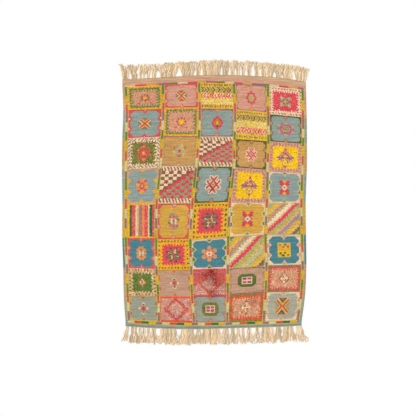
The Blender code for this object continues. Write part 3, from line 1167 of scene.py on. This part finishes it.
def yarn_finish():
    """Cream warp yarn of the fringe, with painted shade in the grooves between its plies."""
    finish = Finish("warp_yarn")
    fuzz = finish.grain((900, 900, 900), 3.0)
    age = finish.grain((16, 16, 16))
    finish.raised(fuzz, 0.0004)
    # Each cord's kept random shade makes it lighter or darker; the marked grooves between the plies are
    # darkened by half, as painted shade.
    light = 1.0 + finish.kept("shade") * 0.64 + fuzz * 0.1 + age * 0.2 - finish.kept("groove") * 0.5
    return finish.coloured(finish.shaded((*linear(FRINGE_COLOUR),), light))


def band_finish(name, hexcode):
    """A plain woven band: warp ribs along the rug and streaks of weft across it."""
    finish = Finish(name)
    ribs = finish.ribs((40, 1100, 1), 1.2)
    streaks = finish.grain((5, 170, 1), 3.0)
    warps = finish.grain((320, 30, 1))
    finish.raised(ribs + warps * 0.3, 0.0007)
    light = 0.97 + streaks * 0.6 + warps * 0.26 + ribs * 0.06
    return finish.coloured(finish.shaded((*linear(hexcode),), light))


# Pieces

def in_metres(points):
    """Points in mm on the rug as places in the scene."""
    return (np.asarray(points, float) - MIDDLE) * MM + CENTRE


def plan_map(mesh, beneath=None):
    """Lays a mesh out for baking as it is seen from above, leaning a little to show its sides."""
    spots = np.zeros(len(mesh.vertices) * 3)
    mesh.vertices.foreach_get("co", spots)
    spots = spots.reshape(-1, 3)
    flat = spots[:, :2] + MAP_LEAN * spots[:, 2:]
    flat = MAP_MARGIN + (1 - 2 * MAP_MARGIN) * (flat - flat.min(0)) / np.ptp(flat, axis=0)
    corners = np.zeros(len(mesh.loops), int)
    mesh.loops.foreach_get("vertex_index", corners)
    places = flat[corners]
    if beneath is not None:
        aside = MAP_BACK_FROM + MAP_BACK * places[:, 0]
        places[:, 0] = np.where(beneath, aside, MAP_FACE * places[:, 0])
    layer = mesh.uv_layers.new(name="OFBake")
    layer.data.foreach_set("uv", places.astype(np.float32).ravel())


def keep_colours(mesh, colours, domain):
    """Keeps a colour on each face or point under the name wool."""
    layer = mesh.attributes.new("wool", "FLOAT_COLOR", domain)
    layer.data.foreach_set("color", np.c_[colours, np.ones(len(colours))].astype(np.float32).ravel())


def ground_cloth(x, y, knotted, raised, colours):
    """The woven cloth: a face of fine squares over a coarser underside, closed all round."""
    heights = WEAVE + STRIP_RISE * raised + UNDER_PILE * knotted
    padded = np.pad(heights, 1, mode="edge")
    z = cell_middles(padded) + UNEVEN * wandering(x, y, WANDER)
    z[[0, -1]] = EDGE
    z[:, [0, -1]] = EDGE
    top = in_metres(np.stack([x, y, z], axis=-1).reshape(-1, 3))
    rows, columns = x.shape
    number = np.arange(rows * columns).reshape(rows, columns)
    low_x, low_y = x[::BACKING, ::BACKING], y[::BACKING, ::BACKING]
    under = in_metres(np.stack([low_x, low_y, 0 * low_x], axis=-1).reshape(-1, 3))
    low = np.arange(low_x.size).reshape(low_x.shape) + number.size
    face = np.stack([number[:-1, :-1], number[:-1, 1:], number[1:, 1:], number[1:, :-1]], axis=-1)
    back = np.stack([low[:-1, :-1], low[1:, :-1], low[1:, 1:], low[:-1, 1:]], axis=-1)
    faces = face.reshape(-1, 4).tolist() + back.reshape(-1, 4).tolist()
    tints = [colours.reshape(-1, 3), colours[1::BACKING, 1::BACKING].reshape(-1, 3)]
    for fine, coarse, tint in (
        (number[0], low[0], colours[0]), (number[-1][::-1], low[-1][::-1], colours[-1][::-1]),
        (number[::-1, 0], low[::-1, 0], colours[::-1, 0]), (number[:, -1], low[:, -1], colours[:, -1]),
    ):
        for k in range(len(coarse) - 1):
            edge = fine[k * BACKING:(k + 1) * BACKING + 1]
            faces.append([coarse[k], coarse[k + 1], *edge[::-1]])
        tints.append(tint[1::BACKING])
    mesh = bpy.data.meshes.new("ground_cloth")
    mesh.from_pydata(np.concatenate([top, under]).tolist(), [], faces)
    keep_colours(mesh, np.concatenate(tints), "FACE")
    first, count = face[..., 0].size, back[..., 0].size
    beneath = np.zeros(len(faces), bool)
    beneath[first:first + count] = True
    plan_map(mesh, np.repeat(beneath, [len(corners) for corners in faces]))
    mesh.polygons.foreach_set("use_smooth", np.ones(len(faces), bool))
    return shown("ground_cloth", mesh)


def knot_recipe(material):
    """Sets a small opened knot of wool on each point, turned, leaning and scaled at random."""
    tall = PILE - WEAVE
    sizes = {
        "Base": KNOT_BASE * MM, "Wide": KNOT_WIDE * MM, "Stem": tall * KNOT_OPENS * MM,
        "Cap": tall * (1 - KNOT_OPENS) * MM, "Lean": KNOT_LEAN,
        "Smallest": KNOT_SMALLEST, "Largest": KNOT_LARGEST, "Seed": SEED,
    }
    recipe = Recipe("knots", sizes)
    given = recipe.given
    stem = recipe.node("GeometryNodeMeshCone", {"fill_type": "NGON"}, {
        "Vertices": 4, "Radius Top": given["Wide"], "Radius Bottom": given["Base"],
        "Depth": given["Stem"],
    })
    cap = recipe.node("GeometryNodeMeshCone", {"fill_type": "NONE"}, {
        "Vertices": 4, "Radius Top": 0.0, "Radius Bottom": given["Wide"], "Depth": given["Cap"],
    })
    open_stem = recipe.node("GeometryNodeDeleteGeometry", {"domain": "FACE"}, {
        "Geometry": stem.outputs["Mesh"], "Selection": stem.outputs["Top"],
    })
    rise = recipe.node("ShaderNodeCombineXYZ", None, {"Z": given["Stem"]})
    lifted = recipe.node("GeometryNodeTransform", None, {
        "Geometry": cap.outputs["Mesh"], "Translation": rise.outputs[0],
    })
    both = recipe.node("GeometryNodeJoinGeometry")
    recipe.join(open_stem.outputs[0], both.inputs[0])
    recipe.join(lifted.outputs[0], both.inputs[0])
    welded = recipe.node("GeometryNodeMergeByDistance", None, {
        "Geometry": both.outputs[0], "Distance": 0.01 * MM,
    })
    shallow = recipe.node("ShaderNodeMath", {"operation": "MULTIPLY"}, {0: given["Lean"], 1: -1.0})
    back = shallow.outputs[0]
    lowest = recipe.node("ShaderNodeCombineXYZ", None, {0: back, 1: back, 2: 0.0})
    highest = recipe.node("ShaderNodeCombineXYZ", None, {0: given["Lean"], 1: given["Lean"], 2: math.tau})
    leaning = recipe.node("FunctionNodeRandomValue", {"data_type": "FLOAT_VECTOR"}, {
        0: lowest.outputs[0], 1: highest.outputs[0], "Seed": given["Seed"],
    })
    scale = recipe.node("FunctionNodeRandomValue", {"data_type": "FLOAT"}, {
        2: given["Smallest"], 3: given["Largest"], "Seed": given["Seed"],
    })
    set_out = recipe.node("GeometryNodeInstanceOnPoints", None, {
        "Points": given["Geometry"], "Instance": welded.outputs[0],
        "Rotation": leaning.outputs[0], "Scale": scale.outputs[1],
    })
    recipe.finish(set_out.outputs[0], material)
    return recipe


def pile_columns(x, y, knotted, colours, recipe):
    """The knotted pile, one piece for each column of tiles."""
    chance = np.random.default_rng(SEED)
    middle_x = cell_middles(x) + KNOT_STRAY * (chance.random(knotted.shape) * 2 - 1)
    middle_y = cell_middles(y) + KNOT_STRAY * (chance.random(knotted.shape) * 2 - 1)
    across = np.cumsum(SPANS_ACROSS)
    pieces = []
    for column in range(COLUMNS):
        squares = slice(across[1 + 2 * column], across[2 + 2 * column])
        here = knotted[:, squares]
        places = (middle_x[:, squares][here], middle_y[:, squares][here], np.full(here.sum(), WEAVE))
        mesh = bpy.data.meshes.new("knot_places")
        mesh.from_pydata(in_metres(np.stack(places, axis=-1)).tolist(), [], [])
        keep_colours(mesh, colours[:, squares][here], "POINT")
        piece = recipe.make(f"pile_column_{column + 1}", shown("knot_places", mesh))
        plan_map(piece.data)
        pieces.append(piece)
    return pieces


def cord_places(left, right, chance):
    """Middle of each cord's root, how far its tip lies to the side, and its lock's sway."""
    starts = [left] + [p.x + p.width / 2 for p in PARTINGS]
    stops = [p.x - p.width / 2 for p in PARTINGS] + [right]
    rooms = [0] + [FILLED * p.width for p in PARTINGS] + [0]
    cords = []
    for start, stop, before, after in zip(starts, stops, rooms, rooms[1:]):
        count = max(1, round((stop - start) / CORD_PITCH))
        sway = chance.uniform(-SWAY, SWAY)
        for k in range(count):
            part = (k + 0.5) / count
            lean = part * after - (1 - part) * before + chance.uniform(-STRAY, STRAY)
            cords.append((start + part * (stop - start), lean, sway))
    return cords


def cord_recipe(material, strand):
    """Sweeps a section of so many plies along each spline, twisting as it goes."""
    sizes = {
        "Rings": strand.rings, "Turn": math.tau / (strand.lay * MM), "Plies": strand.plies,
        "Groove": strand.groove, "Seed": SEED,
    }
    recipe = Recipe(strand.name, sizes)
    given = recipe.given
    even = recipe.node("GeometryNodeResampleCurve", None, {
        "Curve": given["Geometry"], "Count": given["Rings"],
    })
    along = recipe.node("GeometryNodeSplineParameter")
    tilt = recipe.node("ShaderNodeMath", {"operation": "MULTIPLY"}, {
        0: along.outputs["Length"], 1: given["Turn"],
    })
    twisted = recipe.node("GeometryNodeSetCurveTilt", None, {
        "Curve": even.outputs[0], "Tilt": tilt.outputs[0],
    })
    shade = recipe.node("FunctionNodeRandomValue", {"data_type": "FLOAT"}, {
        2: 0.0, 3: 1.0, "Seed": given["Seed"],
    })
    kept = recipe.node("GeometryNodeStoreNamedAttribute", {"data_type": "FLOAT", "domain": "CURVE"}, {
        "Geometry": twisted.outputs[0], "Name": "shade", "Value": shade.outputs[1],
    })
    section = recipe.node("GeometryNodeCurveStar", None, {
        "Points": given["Plies"], "Inner Radius": given["Groove"], "Outer Radius": 1.0,
    })
    # Marks every other point of the section, at the grooves between the plies, where the yarn's finish
    # paints shade.
    order = recipe.node("GeometryNodeInputIndex")
    groove = recipe.node("ShaderNodeMath", {"operation": "MODULO"}, {0: order.outputs[0], 1: 2.0})
    marked = recipe.node("GeometryNodeStoreNamedAttribute", {"data_type": "FLOAT", "domain": "POINT"}, {
        "Geometry": section.outputs[0], "Name": "groove", "Value": groove.outputs[0],
    })
    thickness = recipe.node("GeometryNodeInputRadius")
    swept = recipe.node("GeometryNodeCurveToMesh", None, {
        "Curve": kept.outputs[0], "Profile Curve": marked.outputs[0],
        "Scale": thickness.outputs[0], "Fill Caps": True,
    })
    recipe.finish(swept.outputs[0], material)
    return recipe


def curve_of(routes):
    """A curve object with one open spline for each route of points and radii, in mm."""
    data = bpy.data.curves.new("cord_routes", "CURVE")
    data.dimensions = "3D"
    for points, radii in routes:
        spline = data.splines.new("POLY")
        spline.points.add(len(points) - 1)
        for spot, place, radius in zip(spline.points, in_metres(points), radii):
            spot.co = (*place, 1)
            spot.radius = radius * MM
    return shown("cord_routes", data)


def fringe_routes(way, rim, outer, length, splay):
    """Routes of the thick cords, the thin ones and the loose yarns at their tips."""
    chance = random.Random(SEED + way)
    wild = random.Random(SEED * 10 + way)
    left, right = rim
    cords, thin, yarns = [], [], []
    for x, lean, sway in cord_places(left, right, chance):
        long = length * (1 + chance.uniform(-LENGTH_VARIES, LENGTH_VARIES))
        fan = splay.left * math.exp((left - x) / SPLAY_REACH)
        fan += splay.right * math.exp((x - right) / SPLAY_REACH)
        root = float(outer(np.array([x]))[0])
        for kind, size, stray, apart in ((cords, 1, THICK_WANDER, 0), (thin, THIN, THIN_WANDER, lean)):
            turns = wild.uniform(*WAVES)
            phase = wild.uniform(0, math.tau)
            curl = CURL * wild.uniform(*CURL_VARIES)
            hook = HOOK * wild.uniform(-1, 1)
            wander = wild.uniform(-1, 1) * stray + apart
            lift = wild.uniform(0, LIFT) + (1 - size) * THIN_LIFT
            reach = long * wild.uniform(*REACHES)
            points, radii = [], []
            for k in range(CORD_POINTS):
                t = k / (CORD_POINTS - 1)
                wave = math.sin(math.tau * turns * t + phase)
                aside = (lean + fan + wander) * t ** FLARE + sway * math.sin(math.tau * t)
                aside += curl * t ** CURL_GROWS * wave + hook * t ** HOOK_GROWS
                radius = size * (CORD_ROOT + (CORD_TIP - CORD_ROOT) * t)
                height = radius + lift * math.sin(math.pi * min(1, LANDING * t)) ** 2
                points.append((x + aside, root + way * (reach * t - TUCKED), height))
                radii.append(radius)
            kind.append((points, radii))
            for _ in range(YARNS):
                yarns.append(loose_yarn(points, way, wild))
    return cords, thin, yarns


def loose_yarn(points, way, chance):
    """A thin yarn that leaves a cord near its tip and wanders on."""
    start = points[chance.randint(CORD_POINTS * 2 // 5, CORD_POINTS - 4)]
    side = chance.uniform(-1, 1)
    left = abs(points[-1][1] - start[1])
    long = min(YARN_LENGTH, left + YARN_PAST) * chance.uniform(YARN_SHORTEST, 1.0)
    bend = chance.uniform(-YARN_BEND, YARN_BEND)
    route = []
    for k in range(YARN_POINTS):
        t = k / (YARN_POINTS - 1)
        aside = YARN_ASIDE * side * t + bend * math.sin(math.tau * t)
        height = YARN + (start[2] - YARN) * (1 - t)
        route.append((start[0] + aside, start[1] + way * long * t, height))
    return route, [YARN * (1 - YARN_TAPER * k / YARN_POINTS) for k in range(YARN_POINTS)]


def band(name, rim, inner, outer, finish):
    """A flat strip of weave between two lines across the rug, rounded at its long edges."""
    places = np.linspace(*rim, BAND_STEPS)
    start, stop = inner(places), outer(places)
    rings = [
        np.stack([places, start + (stop - start) * part, np.full(len(places), HEADING * tall)], axis=-1)
        for part, tall in BAND_SECTION
    ]
    mesh = bmesh.new()
    lines = [[mesh.verts.new(place) for place in in_metres(ring)] for ring in rings]
    for near, far in zip(lines, lines[1:] + lines[:1]):
        for k in range(len(places) - 1):
            mesh.faces.new((near[k], near[k + 1], far[k + 1], far[k]))
    for k in (0, -1):
        mesh.faces.new([line[k] for line in lines])
    bmesh.ops.recalc_face_normals(mesh, faces=mesh.faces)
    data = bpy.data.meshes.new(name)
    mesh.to_mesh(data)
    mesh.free()
    data.materials.append(finish)
    plan_map(data)
    return shown(name, data)


def fringe(end, way, rim, outer, length, splay, recipes):
    """The strands of one end of the rug, and the band that they come out of."""
    pieces = []
    routes = fringe_routes(way, rim, outer, length, splay)
    for strand, recipe, paths in zip(STRANDS, recipes, routes):
        pieces.append(recipe.make(f"{strand.name}_{end}", curve_of(paths)))
        plan_map(pieces[-1].data)
    name, hexcode = BANDS[end]
    finish = band_finish(f"{name}_weave", hexcode)
    return [*pieces, band(name, rim, partial(end_line, end), outer, finish)]


def studio():
    """Camera straight over the rug, a pale floor and soft light."""
    scene = bpy.context.scene
    scene.view_settings.view_transform = "Standard"
    lens = bpy.data.cameras.new("camera")
    lens.sensor_width = SENSOR
    lens.lens = SENSOR * CAMERA_HEIGHT / SEEN_WIDE
    camera = shown("camera", lens)
    camera.location = (*AIM, CAMERA_HEIGHT)
    scene.camera = camera
    mesh = bmesh.new()
    bmesh.ops.create_grid(mesh, x_segments=1, y_segments=1, size=FLOOR_HALF)
    data = bpy.data.meshes.new("floor")
    mesh.to_mesh(data)
    mesh.free()
    finish = Finish("floor", roughness=0.9)
    data.materials.append(finish.coloured((*linear(FLOOR_COLOUR), 1)))
    floor = shown("floor", data)
    floor.location.z = -FLOOR_DROP
    world = bpy.data.worlds.new("studio")
    world.use_nodes = True
    sky = world.node_tree.nodes["Background"].inputs
    sky["Color"].default_value = (1, 1, 1, 1)
    sky["Strength"].default_value = SKY
    scene.world = world
    sun = bpy.data.lights.new("window_light", "SUN")
    sun.energy = SUN
    sun.angle = math.radians(SUN_SPREAD)
    lamp = shown("window_light", sun)
    lamp.rotation_euler = (*map(math.radians, SUN_LEAN), 0)


studio()
x, y = grid_points()
low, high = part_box("rug_body")
MIDDLE = np.array(((x.min() + x.max()) / 2, (y.min() + y.max()) / 2, 0))  # of the drawn cloth
CENTRE = np.array(((low[0] + high[0]) / 2, (low[1] + high[1]) / 2, 0))  # of the solid one
design, knotted, raised = rug_design()
colours = square_colours(design, knotted, cell_middles(x), cell_middles(y))

cloth = ground_cloth(x, y, knotted, raised, colours)
cloth.data.materials.append(weave_finish())
pile = pile_columns(x, y, knotted, colours, knot_recipe(pile_finish()))

yarn = yarn_finish()
recipes = [cord_recipe(yarn, strand) for strand in STRANDS]
far_rim, near_rim = ((float(line[0]), float(line[-1])) for line in (x[-1], x[0]))
fringes = {
    "far": fringe("far", 1, far_rim, partial(end_line, "heading"), FAR_LENGTH, FAR_SPLAY, recipes),
    "near": fringe("near", -1, near_rim, partial(end_line, "near", beyond=-NEAR_EDGE),
                   CURLED_UP * NEAR_LENGTH, NEAR_SPLAY, recipes),
}

for piece in (cloth, *pile):
    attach(piece, "root")
    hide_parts("rug_body")
for end, pieces in fringes.items():
    for piece in pieces:
        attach(piece, "root")
        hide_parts(f"fringe_{end}")
